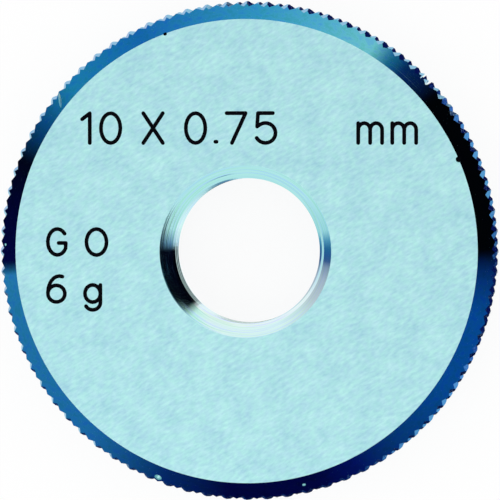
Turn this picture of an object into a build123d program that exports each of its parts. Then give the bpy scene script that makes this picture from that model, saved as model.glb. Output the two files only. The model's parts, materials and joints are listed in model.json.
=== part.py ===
"""A thread ring gauge for M10 x 0.75: one hardened steel ring, turned, diamond knurled and bored.

Units are millimetres. The ring lies on its lower face with Z up along the bore, and the
origin is the centre of that face. The two ends are alike.
"""

from build123d import *
import os
from math import pi, radians, tan

# The ring
outside_diameter = 31.75  # over the points of the knurl
ring_width = 5.0
rim_chamfer = 1.2  # at 45 degrees, from the points of the knurl up to each face

# The bore, as wide as the crests of its gauging thread: the grooves of so fine a thread are left out
thread_minor_diameter = 9.24
countersink_diameter = 10.9  # at each face
countersink_angle = 60.0  # included

# The knurl
knurl_pitch = 1.31  # about, between the points round the rim, where a whole number of them fits
knurl_depth = 0.36  # from the points down to the grooves
knurl_helix_angle = 30.0  # between a groove and the axis
knurl_start = 2.2  # from the lower face up to a row of points

outside_radius = outside_diameter / 2
bore_radius = thread_minor_diameter / 2
countersink_radius = countersink_diameter / 2
countersink_depth = (countersink_radius - bore_radius) / tan(radians(countersink_angle / 2))
face_radius = outside_radius - rim_chamfer
knurl_diamonds = round(pi * outside_diameter / knurl_pitch)


def turned_blank():
    """The section that the lathe leaves, turned about Z: bore, countersinks, faces and chamfers.

    Each chamfer runs on past the points of the knurl, so that the knurl alone shapes the rim.
    """
    rim_radius = outside_radius + knurl_depth
    chamfer_height = rim_radius - face_radius
    section = Polyline(
        (bore_radius, countersink_depth),
        (countersink_radius, 0),
        (face_radius, 0),
        (rim_radius, chamfer_height),
        (rim_radius, ring_width - chamfer_height),
        (face_radius, ring_width),
        (countersink_radius, ring_width),
        (bore_radius, ring_width - countersink_depth),
        close=True,
    )
    return revolve(Plane.XZ * make_face(section), Axis.Z)


def knurled_bar():
    """A round bar with a diamond knurl: rows of four-sided points between two sets of helical grooves.

    The corners of the pattern are a grid, half a diamond wide and half a diamond high. They
    alternate between the point of a diamond and a crossing of two grooves, and a groove runs
    across each cell of the grid from crossing to crossing. The bar is longer than the ring, and
    ends at the first row past each face.
    """
    columns = 2 * knurl_diamonds
    column_angle = 360 / columns
    row_height = pi * outside_diameter / columns / tan(radians(knurl_helix_angle))
    rows_below = int(knurl_start / row_height) + 1
    rows_above = int((ring_width - knurl_start) / row_height) + 1
    rows = range(-rows_below, rows_above + 1)

    def is_crossing(column, row):
        return (column + row) % 2 == 0

    def corner(column, row):
        depth = knurl_depth if is_crossing(column, row) else 0
        across = Vector(outside_radius - depth, 0, 0).rotate(Axis.Z, column * column_angle)
        return across + Vector(0, 0, knurl_start + row * row_height)

    def facet(*corners):
        return Face(Wire.make_polygon(corners, close=True))

    def end_face(row):
        return facet(*(corner(column, row) for column in range(columns)))

    faces = [end_face(rows[0]), end_face(rows[-1])]
    for row in rows[:-1]:
        for column in range(columns):
            a, b = corner(column, row), corner(column + 1, row)
            d, c = corner(column, row + 1), corner(column + 1, row + 1)
            if is_crossing(column, row):
                faces += [facet(a, b, c), facet(a, c, d)]
            else:
                faces += [facet(a, b, d), facet(b, c, d)]
    return Solid(Shell(faces))


gauge_ring = knurled_bar() & turned_blank()

os.makedirs("parts", exist_ok=True)
export_step(gauge_ring, "parts/gauge_ring.step")
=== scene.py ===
# %% [markdown]
# # A thread ring gauge
# The real object is one ring of hardened tool steel. A lathe gives it its width, its two chamfers,
# its bore and the countersinks at both ends, a knurling tool rolls the diamonds of its rim, a tap
# cuts the thread that gauges a screw, and a grinder leaves both faces flat and matt. Last, its size
# is engraved in one face and the grooves are filled with black enamel.
#
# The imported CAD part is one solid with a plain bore. This lesson makes the same ring once more as a
# fine mesh, step by step in the order of the workshop, so that each tool leaves its own finish.

# %% Load the fixed frame
import json
from math import cos, pi, radians, sin, tan

import bpy
from mathutils import Matrix, Vector


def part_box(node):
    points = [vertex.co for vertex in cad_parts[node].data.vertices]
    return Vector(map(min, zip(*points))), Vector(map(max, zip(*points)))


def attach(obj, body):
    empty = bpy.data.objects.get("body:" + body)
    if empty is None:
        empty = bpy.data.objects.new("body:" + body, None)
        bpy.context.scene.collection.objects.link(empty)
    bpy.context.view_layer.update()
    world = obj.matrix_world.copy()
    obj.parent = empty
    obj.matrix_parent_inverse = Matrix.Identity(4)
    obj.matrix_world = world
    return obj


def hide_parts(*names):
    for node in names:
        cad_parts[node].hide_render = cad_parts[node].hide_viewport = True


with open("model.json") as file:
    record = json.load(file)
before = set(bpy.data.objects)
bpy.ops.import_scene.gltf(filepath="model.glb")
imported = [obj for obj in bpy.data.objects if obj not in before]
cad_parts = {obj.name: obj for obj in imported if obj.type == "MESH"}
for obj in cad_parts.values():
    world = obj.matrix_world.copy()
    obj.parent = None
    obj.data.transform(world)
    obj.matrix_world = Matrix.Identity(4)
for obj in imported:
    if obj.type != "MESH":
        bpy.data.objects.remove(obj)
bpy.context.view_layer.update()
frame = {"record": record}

# %% [markdown]
# ## Sizes
# Blender works in metres, and the ring is described in millimetres, so each size is a number times
# MM. What the CAD part knows is read from it: the radius over the knurl, the width, and the bore and
# its length from the mount called thread. The other sizes are written here once.

# %% Sizes
MM = 0.001

low_corner, high_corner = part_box("gauge_ring")
outside_radius = high_corner.x
ring_width = high_corner.z

thread_mount = next(m for m in frame["record"]["mounts"] if m["name"] == "thread")
bore_radius = thread_mount["dims"]["r_mm"] * MM
bore_length = thread_mount["dims"]["length_mm"] * MM

countersink_slope = radians(30)  # from the axis
countersink_depth = (ring_width - bore_length) / 2
countersink_radius = bore_radius + countersink_depth * tan(countersink_slope)

rim_chamfer = 1.2 * MM
face_radius = outside_radius - rim_chamfer
print(f"rim {outside_radius / MM:.3f}, face {face_radius / MM:.3f}, "
      f"countersink {countersink_radius / MM:.3f}, bore {bore_radius / MM:.3f} mm in radius")

# %% [markdown]
# ## The finishes, by name
# Each tool of the workshop leaves its own surface. The six materials are made here empty, so that
# each modelling step can give its faces the right one, and they get their nodes further down.

# %% Name the materials
def new_material(name):
    made = bpy.data.materials.new(name)
    made.use_nodes = True
    made.node_tree.nodes.clear()
    return made


ground_steel = new_material("tool_steel_surface_ground")
turned_steel = new_material("tool_steel_fine_turned")
countersunk_steel = new_material("tool_steel_countersunk")
knurled_steel = new_material("tool_steel_knurled")
threaded_steel = new_material("tool_steel_thread_cut")
black_enamel = new_material("black_enamel_wiped_in")
print("materials:", [m.name for m in bpy.data.materials if m.name.startswith(("tool", "black"))])

# %% [markdown]
# ## Helpers for working by hand
# A click on an object, a trip into edit mode and a selection by eye become three small functions.
# An operator acts on whatever is selected, so each of them first lets go of everything else.

# %% Select, edit and pick
def take(*pieces):
    """Selects these objects and nothing else; the last one is the active one."""
    if bpy.context.mode != "OBJECT":
        bpy.ops.object.mode_set(mode="OBJECT")
    bpy.ops.object.select_all(action="DESELECT")
    for piece in pieces:
        piece.select_set(True)
    bpy.context.view_layer.objects.active = pieces[-1]
    return pieces[-1]


def start(name, primitive, material, **settings):
    """Adds one primitive on its own, in object mode, with a name and a material."""
    if bpy.context.mode != "OBJECT":
        bpy.ops.object.mode_set(mode="OBJECT")
    bpy.ops.object.select_all(action="DESELECT")
    primitive(**settings)
    piece = bpy.context.active_object
    piece.name = name
    piece.data.name = name
    piece.data.materials.append(material)
    bpy.ops.object.transform_apply(location=True, rotation=True, scale=True)
    return piece


def edit(piece, choose=None):
    """Opens a piece in edit mode with all of it selected, or only the vertices that choose() takes."""
    take(piece)
    bpy.ops.object.mode_set(mode="EDIT")
    bpy.ops.mesh.select_mode(type="VERT")
    bpy.ops.mesh.select_all(action="SELECT")
    if choose:
        bpy.ops.mesh.select_all(action="DESELECT")
        bpy.ops.object.mode_set(mode="OBJECT")
        for vertex in piece.data.vertices:
            vertex.select = bool(choose(vertex.co))
        bpy.ops.object.mode_set(mode="EDIT")


def weld(piece, distance=0.0005 * MM):
    """Merges doubles, then points every face outwards."""
    edit(piece)
    bpy.ops.mesh.remove_doubles(threshold=distance)
    bpy.ops.mesh.normals_make_consistent(inside=False)
    bpy.ops.object.mode_set(mode="OBJECT")


def apply_modifier(piece, kind, **settings):
    """Adds a modifier with its settings and applies it at once."""
    take(piece)
    modifier = piece.modifiers.new(kind.lower(), kind)
    for name, value in settings.items():
        setattr(modifier, name, value)
    bpy.ops.object.modifier_apply(modifier=modifier.name)


def machine(piece, operation, tool, crosses_itself=False):
    """One boolean: the tool shapes the piece, leaves its own material on it, and is thrown away."""
    apply_modifier(piece, "BOOLEAN", operation=operation, solver="EXACT", use_self=crosses_itself,
                   material_mode="TRANSFER", object=tool)
    bpy.data.objects.remove(tool)
    print(f"{piece.name} after {operation.lower()}: {len(piece.data.polygons)} faces")


def is_near(a, b, tolerance=0.001 * MM):
    return abs(a - b) < tolerance


# %% [markdown]
# ## The turned blank
# A turned ring has the same section all the way round. So the section is drawn flat: a rectangle
# from the bore to the rim, cut by four straight lines, two for the chamfers and two for the
# countersinks. A primitive cylinder with bevels would do too, but the section keeps every slope
# exact. Spin then carries the outline once round the axis.

# %% Draw the section
turning_steps = 720

section_middle = ((bore_radius + outside_radius) / 2, 0, ring_width / 2)
ring = start("gauge_ring_steel", bpy.ops.mesh.primitive_plane_add, turned_steel,
             size=1, location=section_middle, rotation=(pi / 2, 0, 0))
edit(ring)
bpy.ops.transform.resize(value=(outside_radius - bore_radius, 1, ring_width),
                         center_override=section_middle)


def pare(x, z, along):
    """Cuts the section along a line through (x, z) and drops what lies towards along."""
    bpy.ops.mesh.select_all(action="SELECT")
    bpy.ops.mesh.bisect(plane_co=(x, 0, z), plane_no=(along[0], 0, along[1]), clear_outer=True)


for z, up in ((0, -1), (ring_width, 1)):
    pare(face_radius, z, (1, up))
    pare(countersink_radius, z, (-cos(countersink_slope), up * sin(countersink_slope)))
bpy.ops.object.mode_set(mode="OBJECT")
print("section corners, mm:", sorted((round(v.co.x / MM, 2), round(v.co.z / MM, 2))
                                    for v in ring.data.vertices))

# %% Spin it
edit(ring)
bpy.ops.mesh.delete(type="ONLY_FACE")
bpy.ops.mesh.select_all(action="SELECT")
bpy.ops.mesh.spin(steps=turning_steps, angle=2 * pi, center=(0, 0, 0), axis=(0, 0, 1))
weld(ring)

ring.data.materials.append(ground_steel)
ring.data.materials.append(countersunk_steel)
ground_index, countersunk_index = 1, 2
for face in ring.data.polygons:
    if face.center.to_2d().length < (countersink_radius + face_radius) / 2:
        face.material_index = countersunk_index
    if abs(face.normal.z) > 0.9999:
        face.material_index = ground_index
print("turned blank:", len(ring.data.polygons), "faces")

# %% [markdown]
# ## The knurl
# A diamond knurl is rows of four-sided points between two sets of helical grooves. One point is a
# four-sided cone with a blunt tip and no base. It could be carved by booleans with 152 grooves, but
# a pattern that repeats is quicker and cleaner built from its unit: the point is copied up with an
# array, the second column is turned by half a diamond and shifted by one row, and spin copies the
# pair round the rim. The corners of neighbouring points meet at the crossings of the grooves, so
# welding them closes the sleeve. It is then cut square at both ends, and closed into a bar.
#
# The knurling wheels pressed less deep on one side, so the bar is made a little large and set off
# the axis: there its grooves are shallower, and its points stand past the blank. Where the bar and
# the blank overlap, both surfaces are left, as on the real ring. On the shallow side the points keep
# flats of the turned rim, and all round the chamfer meets them in a scalloped line.

# %% Model one point of the knurl
knurl_diamonds = 76  # round the rim
knurl_depth = 0.36 * MM
knurl_start = 2.2 * MM  # from the lower face up to a row of points
knurl_helix = radians(30)  # between a groove and the axis
knurl_blunt = 0.14  # the flat on a point, as a share of the diamond

column_angle = pi / knurl_diamonds  # half a diamond
row_height = outside_radius * column_angle / tan(knurl_helix)  # half a diamond
root_radius = outside_radius - knurl_depth
tip_plane = outside_radius * cos(knurl_blunt * column_angle)
rows = 8  # enough to reach past both faces
lowest_row = knurl_start - rows / 2 * row_height

point_middle = ((root_radius + tip_plane) / 2, 0, lowest_row + row_height)
knurl = start("knurled_bar", bpy.ops.mesh.primitive_cone_add, knurled_steel, vertices=4,
              radius1=1, radius2=knurl_blunt, depth=tip_plane - root_radius,
              end_fill_type="NOTHING", location=point_middle, rotation=(0, pi / 2, 0))
edit(knurl)
bpy.ops.transform.resize(value=(1, root_radius * sin(column_angle), row_height),
                         center_override=point_middle)
edit(knurl, lambda p: abs(p.y) > 0.5 * root_radius * sin(column_angle))
bpy.ops.transform.translate(value=(root_radius * (cos(column_angle) - 1), 0, 0))
edit(knurl, lambda p: is_near(p.x, tip_plane))
bpy.ops.mesh.edge_face_add()
bpy.ops.object.mode_set(mode="OBJECT")
print("one point, mm:", [tuple(round(c / MM, 3) for c in v.co) for v in knurl.data.vertices])

# %% Copy it up and round
apply_modifier(knurl, "ARRAY", count=rows // 2, use_relative_offset=False,
               use_constant_offset=True, constant_offset_displace=(0, 0, 2 * row_height))

take(knurl)
bpy.ops.object.duplicate()
second_column = bpy.context.active_object
edit(second_column)
bpy.ops.transform.translate(value=(0, 0, -row_height))
bpy.ops.transform.rotate(value=column_angle, orient_axis="Z", center_override=(0, 0, 0))
take(second_column, knurl)
bpy.ops.object.join()

edit(knurl)
bpy.ops.mesh.spin(steps=knurl_diamonds - 1, angle=2 * pi * (knurl_diamonds - 1) / knurl_diamonds,
                  dupli=True, center=(0, 0, 0), axis=(0, 0, 1))
weld(knurl)
print("sleeve:", len(knurl.data.vertices), "vertices,", len(knurl.data.polygons), "faces")

# %% Close the bar
overhang = 0.2 * MM  # of the bar past each face of the ring
edit(knurl)
bpy.ops.mesh.bisect(plane_co=(0, 0, -overhang), plane_no=(0, 0, 1), use_fill=True,
                    clear_inner=True)
bpy.ops.mesh.select_all(action="SELECT")
bpy.ops.mesh.bisect(plane_co=(0, 0, ring_width + overhang), plane_no=(0, 0, 1), use_fill=True,
                    clear_outer=True)
weld(knurl)
print("closed bar:", len(knurl.data.polygons), "faces")

# %% Set it off the axis and knurl the ring
knurl_swell = 0.04 * MM  # added to the bar's radius
knurl_shift = 0.045 * MM
shallow_side = radians(262)  # anticlockwise from +X

swollen = 1 + knurl_swell / outside_radius
edit(knurl)
bpy.ops.transform.resize(value=(swollen, swollen, 1), center_override=(0, 0, 0))
bpy.ops.transform.translate(value=(knurl_shift * cos(shallow_side),
                                   knurl_shift * sin(shallow_side), 0))
machine(ring, "INTERSECT", knurl)

# %% [markdown]
# ## The gauging thread
# The thread is M10 x 0.75, right-handed. The groove has the 60 degree flanks of the metric thread
# and a narrow flat at its bottom. The tap's tooth is drawn as a flat shape beside the axis, and the
# Screw modifier winds it up: a turn round the axis with a rise of one pitch. Spin could do it in
# steps, but a screw keeps the pitch exact. Subtracted from the ring, it leaves the grooves, which
# run out into both countersinks as they do on a real gauge.

# %% Wind the tap and cut the thread
pitch = 0.75 * MM
major_radius = 5.0 * MM
groove_flat = pitch / 8
tooth_overlap = 0.12 * MM  # how far the tooth reaches inside the bore's wall
thread_turns = 9  # more than the width needs, so that both ends lie outside the ring
flank_slope = radians(30)  # half of the thread's 60 degrees

tooth_inner = bore_radius - tooth_overlap
tooth_depth = major_radius - tooth_inner
tooth_root_width = groove_flat + 2 * tooth_depth * tan(flank_slope)
tooth_middle = ((tooth_inner + major_radius) / 2, 0, (ring_width - (thread_turns + 1) * pitch) / 2)

tap = start("tap", bpy.ops.mesh.primitive_plane_add, threaded_steel,
            size=1, location=tooth_middle, rotation=(pi / 2, 0, 0))
edit(tap)
bpy.ops.transform.resize(value=(tooth_depth, 1, tooth_root_width), center_override=tooth_middle)
edit(tap, lambda p: is_near(p.x, major_radius))
bpy.ops.transform.resize(value=(1, 1, groove_flat / tooth_root_width),
                         center_override=tooth_middle)
bpy.ops.mesh.select_all(action="SELECT")
bpy.ops.mesh.delete(type="ONLY_FACE")
apply_modifier(tap, "SCREW", axis="Z", screw_offset=pitch, iterations=thread_turns,
               steps=120, render_steps=120)
weld(tap)
edit(tap)
bpy.ops.mesh.fill_holes(sides=4)
weld(tap)
machine(ring, "DIFFERENCE", tap)

# %% [markdown]
# ## The engraved size
# The marks are engraved with a ball-nosed cutter on a pantograph, so each stroke has one width, a
# round bottom and round ends. A font's outlines have neither, so each character is written as the
# few strokes that the cutter follows: straight lines, and bows that a formula gives. A curve with a
# round bevel is the path of the ball, and a ball at each end of it rounds the ends.
#
# The marks are generic: the size of the thread, GO for the ring that must go on, and 6g, the common
# tolerance of a bolt. The paths are cut out of the ring, and a copy of them, sunk a little below the
# face, is the enamel.

# %% Write the characters as strokes
def bow(x, y, across, up, first, last):
    """Points on an ellipse about (x, y), from one angle to another, in degrees, a step of 15 each."""
    steps = round(abs(last - first) / 15)
    angles = [radians(first + (last - first) * i / steps) for i in range(steps + 1)]
    return [(x + across * cos(a), y + up * sin(a)) for a in angles]


# Each character is one unit high: its width, and its strokes
CHARACTERS = {
    "1": (0.30, [[(0.0, 0.80), (0.26, 1.0)], [(0.26, 1.0), (0.26, 0.0)]]),
    "0": (0.66, [bow(0.33, 0.5, 0.33, 0.5, 90, 450)]),
    "X": (0.66, [[(0.0, 0.0), (0.66, 1.0)], [(0.0, 1.0), (0.66, 0.0)]]),
    ".": (0.04, [[(0.0, 0.04), (0.04, 0.04)]]),
    "7": (0.66, [[(0.0, 1.0), (0.64, 1.0)], [(0.64, 1.0), (0.18, 0.0)]]),
    "5": (0.66, [[(0.56, 1.0), (0.06, 1.0)], [(0.06, 1.0), (0.03, 0.55)],
                 [(0.03, 0.55)] + bow(0.31, 0.335, 0.34, 0.335, 125, -150)]),
    "m": (0.80, [[(0.0, 0.0), (0.0, 0.66)],
                 bow(0.20, 0.44, 0.20, 0.22, 180, 0) + [(0.40, 0.0)],
                 bow(0.60, 0.44, 0.20, 0.22, 180, 0) + [(0.80, 0.0)]]),
    "G": (0.72, [bow(0.37, 0.5, 0.37, 0.5, 40, 330) + [(0.70, 0.46)], [(0.70, 0.46), (0.42, 0.46)]]),
    "O": (0.78, [bow(0.39, 0.5, 0.39, 0.5, 90, 450)]),
    "6": (0.66, [bow(0.33, 0.32, 0.33, 0.32, 170, 530),
                 bow(0.45, 0.35, 0.45, 0.65, 180, 75)]),
    "g": (0.60, [bow(0.30, 0.33, 0.30, 0.33, 0, 360),
                 [(0.60, 0.66), (0.60, 0.0)] + bow(0.30, -0.02, 0.30, 0.28, 0, -150)]),
    " ": (0.10, []),
}
print("characters:", " ".join(CHARACTERS))

# %% Engrave them
stroke_width = 0.25 * MM
enamel_sinks = 0.02 * MM  # below the face
letter_gap = 0.34  # of the height of a character
size_height = 1.88 * MM
grade_height = 1.65 * MM


def write(text, left, baseline, height):
    """Every stroke of a line of text as points on the upper face."""
    strokes = []
    for character in text:
        width, paths = CHARACTERS[character]
        strokes += [[(left + height * x, baseline + height * y, ring_width) for x, y in path]
                    for path in paths]
        left += height * (width + letter_gap)
    return strokes


def cutter_path(name, strokes, radius, material):
    """A tube along each stroke with a ball at both its ends, as one mesh."""
    curve = bpy.data.curves.new(name, "CURVE")
    curve.dimensions = "3D"
    curve.bevel_depth = radius
    curve.bevel_resolution = 3
    curve.use_fill_caps = True
    balls = []
    for stroke in strokes:
        spline = curve.splines.new("POLY")
        spline.points.add(len(stroke) - 1)
        for point, place in zip(spline.points, stroke):
            point.co = (*place, 1)
        for end in {stroke[0], stroke[-1]}:
            balls.append(start("ball", bpy.ops.mesh.primitive_uv_sphere_add, material,
                               segments=16, ring_count=8, radius=radius, location=end))
    tubes = bpy.data.objects.new(name, curve)
    bpy.context.scene.collection.objects.link(tubes)
    take(tubes)
    bpy.ops.object.convert(target="MESH")
    tubes.data.materials.clear()
    tubes.data.materials.append(material)
    take(*balls, tubes)
    bpy.ops.object.join()
    weld(tubes)
    return tubes


marks = (write("10 X 0.75", -10.39 * MM, 6.86 * MM, size_height)
         + write("mm", 7.15 * MM, 6.86 * MM, size_height)
         + write("G O", -12.6 * MM, -0.25 * MM, grade_height)
         + write("6 g", -12.6 * MM, -3.24 * MM, grade_height))
print("strokes to engrave:", len(marks))


# %% Cut the grooves and fill them
def slab(top):
    """A thin plate, wider than the ring, with its top face at a height."""
    return start("slab", bpy.ops.mesh.primitive_cube_add, black_enamel, size=1,
                 location=(0, 0, top - stroke_width),
                 scale=(2 * outside_radius, 2 * outside_radius, 2 * stroke_width))


engraver = cutter_path("engraver", marks, stroke_width / 2, black_enamel)
machine(engraver, "INTERSECT", slab(ring_width + stroke_width / 4), crosses_itself=True)
take(engraver)
bpy.ops.object.duplicate()
enamel = bpy.context.active_object
enamel.name = enamel.data.name = "engraving_enamel"
machine(enamel, "INTERSECT", slab(ring_width - enamel_sinks))
machine(ring, "DIFFERENCE", engraver)

# %% [markdown]
# ## Wear
# A gauge is knocked and dropped. This one has two nicks in the edge of its face, three pits in the
# chamfer, a scratch across it, and a spot on the rim where the points of the knurl are broken away to
# both sides of a stub. Wear could be painted on with a texture, but a cut catches the light from every
# side. So each is cut by a small tool of its own: a ball for a nick or a pit, an upright oval bar for
# a broken point, and a long thin ball for the scratch. The nicks are lined with the black enamel, while
# the bottoms of the pits and of the scratch are bare and dull.
#
# Places on the ring are given as a radius and an azimuth, in degrees anticlockwise from +X.

# %% Nick the edge of the face
NICKS = ((110.3, 0.12 * MM), (23.4, 0.19 * MM))  # azimuth, radius of the ball


def on_ring(radius, azimuth, z):
    """A point at a radius and an azimuth."""
    return (radius * cos(radians(azimuth)), radius * sin(radians(azimuth)), z)


def ball_cut(name, material, place, size):
    """Cuts a hollow into the ring with a ball of this radius."""
    ball = start(name, bpy.ops.mesh.primitive_uv_sphere_add, material, segments=16, ring_count=8,
                 radius=size, location=place)
    machine(ring, "DIFFERENCE", ball)


# The nicks are lined with the black enamel, so they show dark
for azimuth, size in NICKS:
    ball_cut("nick", black_enamel, on_ring(face_radius, azimuth, ring_width), size)

# %% Break the points away
BITES = ((44.85, 0.13 * MM, 0.35 * MM), (42.95, 0.28 * MM, 0.40 * MM))  # azimuth, width, depth

for azimuth, width, depth in BITES:
    bite = start("bite", bpy.ops.mesh.primitive_cylinder_add, knurled_steel, vertices=24,
                 radius=0.5, depth=2 * ring_width,
                 location=on_ring(outside_radius, azimuth, ring_width / 2),
                 scale=(2 * depth, width, 1), rotation=(0, 0, radians(azimuth)))
    machine(ring, "DIFFERENCE", bite)

# %% Pit the chamfer and scratch it
PITS = ((178.6, 15.45 * MM, 0.09 * MM), (284.0, 15.25 * MM, 0.12 * MM),
        (248.6, 15.5 * MM, 0.24 * MM))  # azimuth, radius on the ring, radius of the ball

for azimuth, radius, size in PITS:
    chamfer_height = ring_width - (radius - face_radius)
    ball_cut("pit", ground_steel, on_ring(radius, azimuth, chamfer_height), size)

# Both ends of the scratch lie just outside the chamfer, so that the long ball cuts a shallow groove
scratch_ends = [Vector(on_ring(15.66 * MM, 140.2, 4.08 * MM)),
                Vector(on_ring(14.98 * MM, 142.1, 4.76 * MM))]
scratch_radius = 0.12 * MM
past_ends = 0.62  # half the ball's length, as a share of the way between the ends

along_scratch = scratch_ends[1] - scratch_ends[0]
scratch = start("scratch", bpy.ops.mesh.primitive_uv_sphere_add, ground_steel, segments=16,
                ring_count=12, radius=1, location=(scratch_ends[0] + scratch_ends[1]) / 2,
                scale=(scratch_radius, scratch_radius, past_ends * along_scratch.length),
                rotation=along_scratch.to_track_quat("Z", "Y").to_euler())
machine(ring, "DIFFERENCE", scratch)

# %% [markdown]
# ## Shading, and handing over to the frame
# A turned surface is made of 720 strips half a degree apart, and it is shaded smooth. Every edge
# that turns by more than 6 degrees stays sharp: a smooth normal carried over the edge of the chamfer
# would bend the reflection in the whole flat face beside it. The ring stands for the CAD node and
# rides on its body.

# %% Shade and hand over
sharp_from = radians(6)
for piece in (ring, enamel):
    weld(piece, 0.0002 * MM)
    take(piece)
    bpy.ops.object.shade_smooth_by_angle(angle=sharp_from)
    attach(piece, "root")

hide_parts("gauge_ring")
for piece in (ring, enamel):
    piece.data.calc_loop_triangles()
    print(f"{piece.name}: {len(piece.data.loop_triangles)} triangles, "
          f"materials {[m.name for m in piece.data.materials]}")

# %% [markdown]
# ## How the materials are written
# Colours are picked as they look on a screen, as sRGB hex values, and one function turns them into
# the linear numbers that the shader works in. One small function adds a node, sets it up and links
# it. The Mix node has several sockets of the same name, so its two inputs go by their numbers.

# %% Colour and node helpers
def linear(hex_code):
    """An sRGB hex colour as linear RGBA."""
    channels = [int(hex_code[i:i + 2], 16) / 255 for i in (1, 3, 5)]
    return tuple(c / 12.92 if c <= 0.04045 else ((c + 0.055) / 1.055) ** 2.4
                 for c in channels) + (1.0,)


def add_node(tree, kind, inputs=None, **settings):
    """Adds a node. An input is a number, a colour or another node's output."""
    node = tree.nodes.new("ShaderNode" + kind)
    for name, value in settings.items():
        setattr(node, name, value)
    for socket, value in (inputs or {}).items():
        if isinstance(value, bpy.types.NodeSocket):
            tree.links.new(value, node.inputs[socket])
        else:
            node.inputs[socket].default_value = value
    return node


def set_stops(ramp_node, stops):
    """Fills a colour ramp from (position, hex colour) pairs in order."""
    ramp = ramp_node.color_ramp
    while len(ramp.elements) < len(stops):
        ramp.elements.new(1.0)
    for element, (position, hex_code) in zip(ramp.elements, stops):
        element.position = position
        element.color = linear(hex_code)


NUMBER_A, NUMBER_B = 2, 3  # a Mix node's sockets for two numbers
COLOUR_A, COLOUR_B = 6, 7  # and for two colours
print("middle grey is", round(linear("#808080")[0], 3), "of white in linear light")

# %% [markdown]
# ## Ground faces
# Surface-ground tool steel: a wheel leaves fine scratches that all run one way, so the face is matt
# and its glow is broken into short slanting streaks. The colour is painted a little darker and bluer
# where a streak is deeper, as painted shade in the groove, and paler on the ridges between, as a
# painted highlight; a slow cloud mixed in varies the tone at random. Real grinding lines are about
# 0.02 mm apart, too fine to show at this size, so the streaks are drawn 0.2 mm wide and 0.5 mm long.
# Faint patches of mint and lilac, half a millimetre across, are the oil film that keeps a gauge from
# rust.

# %% Surface-ground steel
grinding_lay = radians(31)  # of the scratches, anticlockwise from +X
streak_length, streak_width = 0.5 * MM, 0.2 * MM
cloud_size = 1.6 * MM
film_patch = 0.5 * MM


def ground_faces(material):
    tree = material.node_tree
    place = add_node(tree, "TexCoord").outputs["Object"]
    along = add_node(tree, "Mapping", {"Vector": place, "Rotation": (0, 0, grinding_lay),
                                       "Scale": (streak_length, streak_width, streak_length)},
                     vector_type="TEXTURE")
    streaks = add_node(tree, "TexNoise", {"Vector": along.outputs["Vector"], "Scale": 1.0,
                                          "Detail": 2.5, "Roughness": 0.55})
    cloud = add_node(tree, "TexNoise", {"Vector": place, "Scale": 1 / cloud_size, "Detail": 2.0})
    depth = add_node(tree, "Mix", {"Factor": 0.35, NUMBER_A: streaks.outputs["Fac"],
                                   NUMBER_B: cloud.outputs["Fac"]})
    # Painted shade and highlight: the ramp makes the deep streaks darker and the ridges between them
    # paler
    shade = add_node(tree, "ValToRGB", {"Fac": depth.outputs[0]})
    set_stops(shade, [(0.30, "#A4D3E0"), (0.5, "#B4E3E8"), (0.70, "#C3F1F0")])
    film = add_node(tree, "TexNoise", {"Vector": place, "Scale": 1 / film_patch, "Detail": 1.0})
    tint = add_node(tree, "ValToRGB", {"Fac": film.outputs["Fac"]})
    set_stops(tint, [(0.35, "#FBFFFB"), (0.65, "#FFFCFF")])
    colour = add_node(tree, "Mix", {"Factor": 1.0, COLOUR_A: shade.outputs["Color"],
                                    COLOUR_B: tint.outputs["Color"]},
                      data_type="RGBA", blend_type="MULTIPLY")
    relief = add_node(tree, "Bump", {"Strength": 0.06, "Distance": 0.01 * MM,
                                     "Height": streaks.outputs["Fac"]})
    steel = add_node(tree, "BsdfPrincipled", {"Base Color": colour.outputs[2], "Metallic": 1.0,
                                              "Roughness": 0.46, "Normal": relief.outputs["Normal"]})
    add_node(tree, "OutputMaterial", {"Surface": steel.outputs["BSDF"]})


ground_faces(ground_steel)
print("nodes in the ground steel:", len(ground_steel.node_tree.nodes))

# %% [markdown]
# ## Turned chamfers and countersinks
# A fine cut on the lathe leaves a bright surface with rings round the axis. Each ring is a groove
# that tilts the mirror up and down but never sideways. So the room's colours are drawn out across
# the rings and stay sharp along them, and where dark turns to bright they break into streaks. The
# noise runs on the radius and the height, both in steps of one ring, and only slowly on the heading,
# so that a ring fades in and out on its way round. The feed is 0.06 mm, drawn as uneven rings about
# 0.1 mm wide, as coarse as they need to be to show.
#
# The tint of the oil film lies in patches on the wide chamfers. In the narrow countersinks and on the
# thread it follows the rings, so that they show as fine pale lines.

# %% Fine-turned steel
ring_spacing = 0.1 * MM
oil_patch = 0.45 * MM


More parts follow.
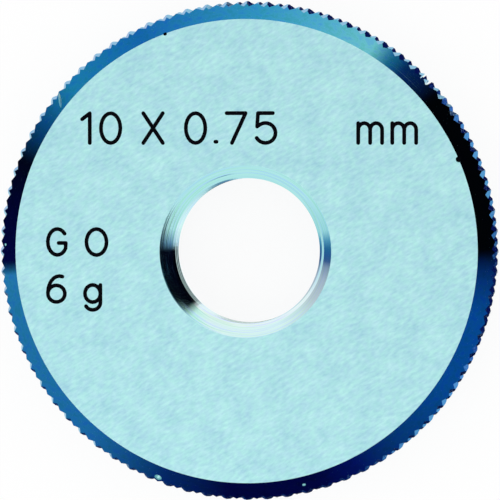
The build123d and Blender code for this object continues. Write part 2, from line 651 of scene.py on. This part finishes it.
def turned_surface(material, roughness, ring_depth, streaky):
    tree = material.node_tree
    place = add_node(tree, "TexCoord").outputs["Object"]
    flat = add_node(tree, "VectorMath", {0: place, 1: (1, 1, 0)}, operation="MULTIPLY")
    radius = add_node(tree, "VectorMath", {0: flat.outputs["Vector"]}, operation="LENGTH")
    heading = add_node(tree, "VectorMath", {0: flat.outputs["Vector"]}, operation="NORMALIZE")
    split = add_node(tree, "SeparateXYZ", {"Vector": heading.outputs["Vector"]})
    height = add_node(tree, "SeparateXYZ", {"Vector": place})
    out = add_node(tree, "Math", {0: radius.outputs["Value"], 1: 1 / ring_spacing}, operation="MULTIPLY")
    up = add_node(tree, "Math", {0: height.outputs["Z"], 1: 1 / ring_spacing}, operation="MULTIPLY")
    drawn = add_node(tree, "CombineXYZ", {"X": out.outputs["Value"], "Y": split.outputs["X"],
                                          "Z": split.outputs["Y"]})
    lines = add_node(tree, "TexNoise", {"Vector": drawn.outputs["Vector"], "W": up.outputs["Value"],
                                        "Scale": 1.0, "Detail": 1.5, "Roughness": 0.6},
                     noise_dimensions="4D")
    relief = add_node(tree, "Bump", {"Strength": 1.0, "Distance": ring_depth,
                                     "Height": lines.outputs["Fac"]})
    if streaky:
        film = lines
    else:
        film = add_node(tree, "TexNoise", {"Vector": place, "Scale": 1 / oil_patch, "Detail": 3.0,
                                           "Roughness": 0.6})
    tint = add_node(tree, "ValToRGB", {"Fac": film.outputs["Fac"]})
    set_stops(tint, [(0.34, "#D2F0E4"), (0.5, "#E4F6F6"), (0.66, "#D4E4FF")])
    round_axis = add_node(tree, "Tangent", direction_type="RADIAL", axis="Z")
    steel = add_node(tree, "BsdfPrincipled", {"Base Color": tint.outputs["Color"], "Metallic": 1.0,
                                              "Roughness": roughness, "Anisotropic": 0.5,
                                              "Anisotropic Rotation": 0.25,
                                              "Tangent": round_axis.outputs["Tangent"],
                                              "Normal": relief.outputs["Normal"]})
    add_node(tree, "OutputMaterial", {"Surface": steel.outputs["BSDF"]})


turned_surface(turned_steel, 0.06, 0.006 * MM, streaky=False)
turned_surface(countersunk_steel, 0.06, 0.0035 * MM, streaky=True)
turned_surface(threaded_steel, 0.08, 0.002 * MM, streaky=True)
print("turned finishes: rings", round(ring_spacing / MM, 2), "mm apart")

# %% [markdown]
# ## The knurl's steel
# A knurl is pressed, not cut, so its flanks are burnished bright with small dull patches, and they
# are never quite flat. One noise varies the roughness from flank to flank, and a finer one dents
# them. Real dents are a few hundredths of a millimetre across, and are drawn at 0.2 mm to show.

# %% Knurled steel
dull_patch = 0.5 * MM
dent_size = 0.2 * MM


def knurl_flanks(material):
    tree = material.node_tree
    place = add_node(tree, "TexCoord").outputs["Object"]
    patches = add_node(tree, "TexNoise", {"Vector": place, "Scale": 1 / dull_patch, "Detail": 3.0})
    dull = add_node(tree, "MapRange", {"Value": patches.outputs["Fac"], "From Min": 0.35,
                                       "From Max": 0.65, "To Min": 0.06, "To Max": 0.2})
    dents = add_node(tree, "TexNoise", {"Vector": place, "Scale": 1 / dent_size, "Detail": 1.0})
    relief = add_node(tree, "Bump", {"Strength": 1.0, "Distance": 0.015 * MM,
                                     "Height": dents.outputs["Fac"]})
    steel = add_node(tree, "BsdfPrincipled", {"Base Color": linear("#DDEDF8"), "Metallic": 1.0,
                                              "Roughness": dull.outputs["Result"],
                                              "Normal": relief.outputs["Normal"]})
    add_node(tree, "OutputMaterial", {"Surface": steel.outputs["BSDF"]})


knurl_flanks(knurled_steel)
print("nodes in the knurled steel:", len(knurled_steel.node_tree.nodes))

# %% [markdown]
# ## Enamel in the marks
# Black stoving enamel, wiped into the grooves and baked: nearly black, with hardly any gloss. A fine
# grain varies it a little, as pigment does, because a flat black looks like a hole.

# %% Black enamel
pigment_grain = 0.15 * MM


def enamel_fill(material):
    tree = material.node_tree
    place = add_node(tree, "TexCoord").outputs["Object"]
    grain = add_node(tree, "TexNoise", {"Vector": place, "Scale": 1 / pigment_grain, "Detail": 2.0})
    tone = add_node(tree, "ValToRGB", {"Fac": grain.outputs["Fac"]})
    set_stops(tone, [(0.3, "#000003"), (0.7, "#03030C")])
    paint = add_node(tree, "BsdfPrincipled", {"Base Color": tone.outputs["Color"],
                                              "Roughness": 0.6, "Specular IOR Level": 0.04})
    add_node(tree, "OutputMaterial", {"Surface": paint.outputs["BSDF"]})


enamel_fill(black_enamel)
print("nodes in the enamel:", len(black_enamel.node_tree.nodes))

# %% [markdown]
# ## The floor
# The gauge lies on a plain pale floor. To the camera most of its white is its own, so the background
# stays white, and the rest is lit, so that it keeps a soft shadow round the ring. Bright metal shows
# the room instead of the floor, so the floor is hidden from its reflections.

# %% Floor
floor = start("floor", bpy.ops.mesh.primitive_plane_add, new_material("pale_floor"), size=4)
floor.visible_glossy = False
tree = floor.data.materials[0].node_tree
sees = add_node(tree, "LightPath")
matt = add_node(tree, "BsdfDiffuse", {"Color": linear("#E8E8E8")})
own = add_node(tree, "Emission", {"Color": (1, 1, 1, 1), "Strength": 0.9})
lit = add_node(tree, "BsdfDiffuse", {"Color": (0.12, 0.12, 0.12, 1)})
shown = add_node(tree, "AddShader", {0: own.outputs["Emission"], 1: lit.outputs["BSDF"]})
mixed = add_node(tree, "MixShader", {0: sees.outputs["Is Camera Ray"], 1: matt.outputs["BSDF"],
                                     2: shown.outputs["Shader"]})
add_node(tree, "OutputMaterial", {"Surface": mixed.outputs["Shader"]})
print("floor:", [round(side, 1) for side in floor.dimensions.to_2d()], "m")

# %% [markdown]
# ## The room
# Bright metal has hardly any colour of its own: it shows the room. An image of a room could be
# wrapped round the scene, but a few bands of colour say the same and can be set one by one. From the
# top down, each band is what one slope of the ring mirrors:
#
# - A soft box covers the ceiling, so the ground face, which looks up, is pale all over.
# - Round it hangs a pale ring with one dark opening. The walls of the thread and the hollows catch it.
# - A dark gap divides it from the horizon, so that no pale light from above leaks into the dark parts
#   of the chamfer.
# - The horizon is dim and blue with dark gaps. The 45 degree chamfer mirrors it, a different heading
#   at each point of the rim.
# - Below it comes a pale band with a dark gap, for the countersink, which looks across the bore.
# - The steep band, still lower, is what the flanks of the knurl see.
# - Underfoot it is pale on one side, for the walls that stand almost upright.
#
# The world's own direction gives the heading and the height. Matt surfaces get a plain even light, so
# that only mirrors see the room.

# %% Colours of the room, by heading
# Each stop is a heading, in degrees anticlockwise from +X, and the colour there
ABOVE = [(-180, "#B8E4EC"), (-100, "#C4F0F0"), (-86, "#C4F0F0"), (-78, "#6A94B0"),
         (-70, "#6A94B0"), (-58, "#C4E8F0"), (-20, "#E8FFFF"), (-6, "#B0D0E0"), (0, "#02030A"),
         (50, "#02030A"), (56, "#FFFFFF"), (150, "#FFFFFF"), (180, "#B8E4EC")]
GAP = [(-180, "#010206"), (44, "#010206"), (49, "#A8E0E4"), (64, "#7CC4D8"), (78, "#58B0D4"),
       (92, "#3E9CC8"), (102, "#010206")]
HORIZON = [(-180, "#020538"), (-175, "#03063C"), (-173, "#2B7CB0"), (-168, "#2678AC"),
           (-135, "#206CA8"), (-115, "#062A68"), (-100, "#02063C"), (-78, "#02063C"),
           (-68, "#03125C"), (-55, "#073A78"), (-38, "#084A94"), (-18, "#084A94"),
           (-8, "#063070"), (-2, "#020306"), (42, "#020306"), (52, "#06285C"), (57, "#1C6C94"),
           (62, "#78C8D4"), (77, "#58B2D2"), (92, "#389AC6"), (122, "#186AB0"), (142, "#2080B0"),
           (152, "#0C4A80"), (161, "#020616"), (180, "#020538")]
BELOW = [(-180, "#2C5E98"), (-176, "#2C6C9C"), (-171, "#5A9CC0"), (-165, "#A9DDE6"),
         (-140, "#C4F0F0"), (-20, "#C4F0F0"), (-8, "#6A94B0"), (-2, "#04091C"), (46, "#02030A"),
         (54, "#E0FFF6"), (66, "#F8FFFC"), (120, "#F0FFFA"), (138, "#DCECEC"), (150, "#CCD0D8"),
         (164, "#B4BCCC"), (172, "#8C9CB4"), (176, "#3A5C90"), (180, "#2C5E98")]
STEEP = [(-180, "#B4D8E8"), (-156, "#A8D0E4"), (-146, "#16346C"), (-100, "#102858"),
         (-70, "#061040"), (-56, "#061440"), (-40, "#0A2464"), (-30, "#4482BC"),
         (-18, "#60A4D2"), (-4, "#5C9CD8"), (4, "#3060B0"), (10, "#081450"), (70, "#081450"),
         (78, "#9CCBE0"), (134, "#A4C8E4"), (160, "#B4C8E4"), (180, "#B4D8E8")]
UNDERFOOT = [(-180, "#02030A"), (-120, "#02030A"), (-100, "#E8FFFF"), (100, "#E8FFFF"),
             (120, "#02030A")]
CEILING = "#FFFFFF"

# The height at which a band starts to take over from the one below it, and at which it has done so;
# a height is the sine of its angle over the horizon
BANDS = ((-0.97, -0.93, STEEP), (-0.71, -0.63, BELOW), (-0.40, -0.35, HORIZON), (0.11, 0.14, GAP),
         (0.34, 0.40, ABOVE))
ceiling_from, ceiling_full = 0.72, 0.80
print("bands below the ceiling:", len(BANDS) + 1)

# %% Room round the gauge
world = bpy.data.worlds.new("room")
bpy.context.scene.world = world
world.use_nodes = True
world.cycles.sampling_method = "NONE"
tree = world.node_tree
tree.nodes.clear()
direction = add_node(tree, "TexCoord").outputs["Generated"]
parts = add_node(tree, "SeparateXYZ", {"Vector": direction})
heading = add_node(tree, "Math", {0: parts.outputs["Y"], 1: parts.outputs["X"]}, operation="ARCTAN2")
turn = add_node(tree, "MapRange", {"Value": heading.outputs["Value"], "From Min": -pi, "From Max": pi})


def ring_of_colours(stops):
    """A colour for each heading."""
    made = add_node(tree, "ValToRGB", {"Fac": turn.outputs["Result"]})
    set_stops(made, [((angle + 180) / 360, hex_code) for angle, hex_code in stops])
    return made.outputs["Color"]


def blend(low, high, below, above):
    """One colour below a height, another above a second one, and a smooth change between."""
    share = add_node(tree, "MapRange", {"Value": parts.outputs["Z"], "From Min": low,
                                        "From Max": high}, interpolation_type="SMOOTHSTEP")
    return add_node(tree, "Mix", {"Factor": share.outputs["Result"], COLOUR_A: below,
                                  COLOUR_B: above}, data_type="RGBA").outputs[2]


room = ring_of_colours(UNDERFOOT)
for low, high, band in BANDS:
    room = blend(low, high, room, ring_of_colours(band))
room = blend(ceiling_from, ceiling_full, room, linear(CEILING))
print("nodes in the room:", len(tree.nodes))

# %% Show the room to mirrors only
light_path = add_node(tree, "LightPath")
mirrored = add_node(tree, "Background", {"Color": room, "Strength": 1.0})
even = add_node(tree, "Background", {"Color": (1, 1, 1, 1), "Strength": 0.8})
backdrop = add_node(tree, "Background", {"Color": (1, 1, 1, 1), "Strength": 1.0})
by_mirror = add_node(tree, "MixShader", {0: light_path.outputs["Is Glossy Ray"],
                                         1: even.outputs["Background"],
                                         2: mirrored.outputs["Background"]})
by_camera = add_node(tree, "MixShader", {0: light_path.outputs["Is Camera Ray"],
                                         1: by_mirror.outputs["Shader"],
                                         2: backdrop.outputs["Background"]})
add_node(tree, "OutputWorld", {"Surface": by_camera.outputs["Shader"]})
print("world:", world.name)

# %% [markdown]
# ## Lamp and camera
# A large soft lamp high up on the left gives the floor its shadow and the edges their glint. A sun
# would draw both too hard for a studio.
#
# The camera looks down on the face from a little to the right, through a long lens, so that the rim
# stays round and only a little of the bore's wall shows. It is turned so that +Y is up.

# %% Lamp
lamp_place = (-0.07, -0.12, 0.30)
bpy.ops.object.light_add(type="AREA", location=lamp_place)
lamp = bpy.context.active_object
lamp.name = "soft_lamp"
lamp.data.shape = "DISK"
lamp.data.size = 0.16
lamp.data.energy = 0.045
lamp.rotation_euler = Vector(lamp.location).to_track_quat("Z", "Y").to_euler()
print("lamp is", round(Vector(lamp_place).length / MM), "mm away")

# %% Camera
face_middle = Vector((0, 0, ring_width))
camera_place = face_middle + Vector((21.338, 6.353, 219.077)) * MM
camera_aim = face_middle + Vector((0.306, 0.097, 0)) * MM

bpy.ops.object.camera_add(location=camera_place)
camera = bpy.context.active_object
camera.data.lens = 250.86
camera.data.sensor_width = 36.0
backwards = (camera_place - camera_aim).normalized()
rightwards = Vector((0, 1, 0)).cross(backwards).normalized()
upwards = backwards.cross(rightwards)
camera.rotation_euler = Matrix((rightwards, upwards, backwards)).transposed().to_euler()
bpy.context.scene.camera = camera
bpy.context.scene.view_settings.view_transform = "Standard"
print("camera is", round((camera_place - camera_aim).length / MM), "mm away")
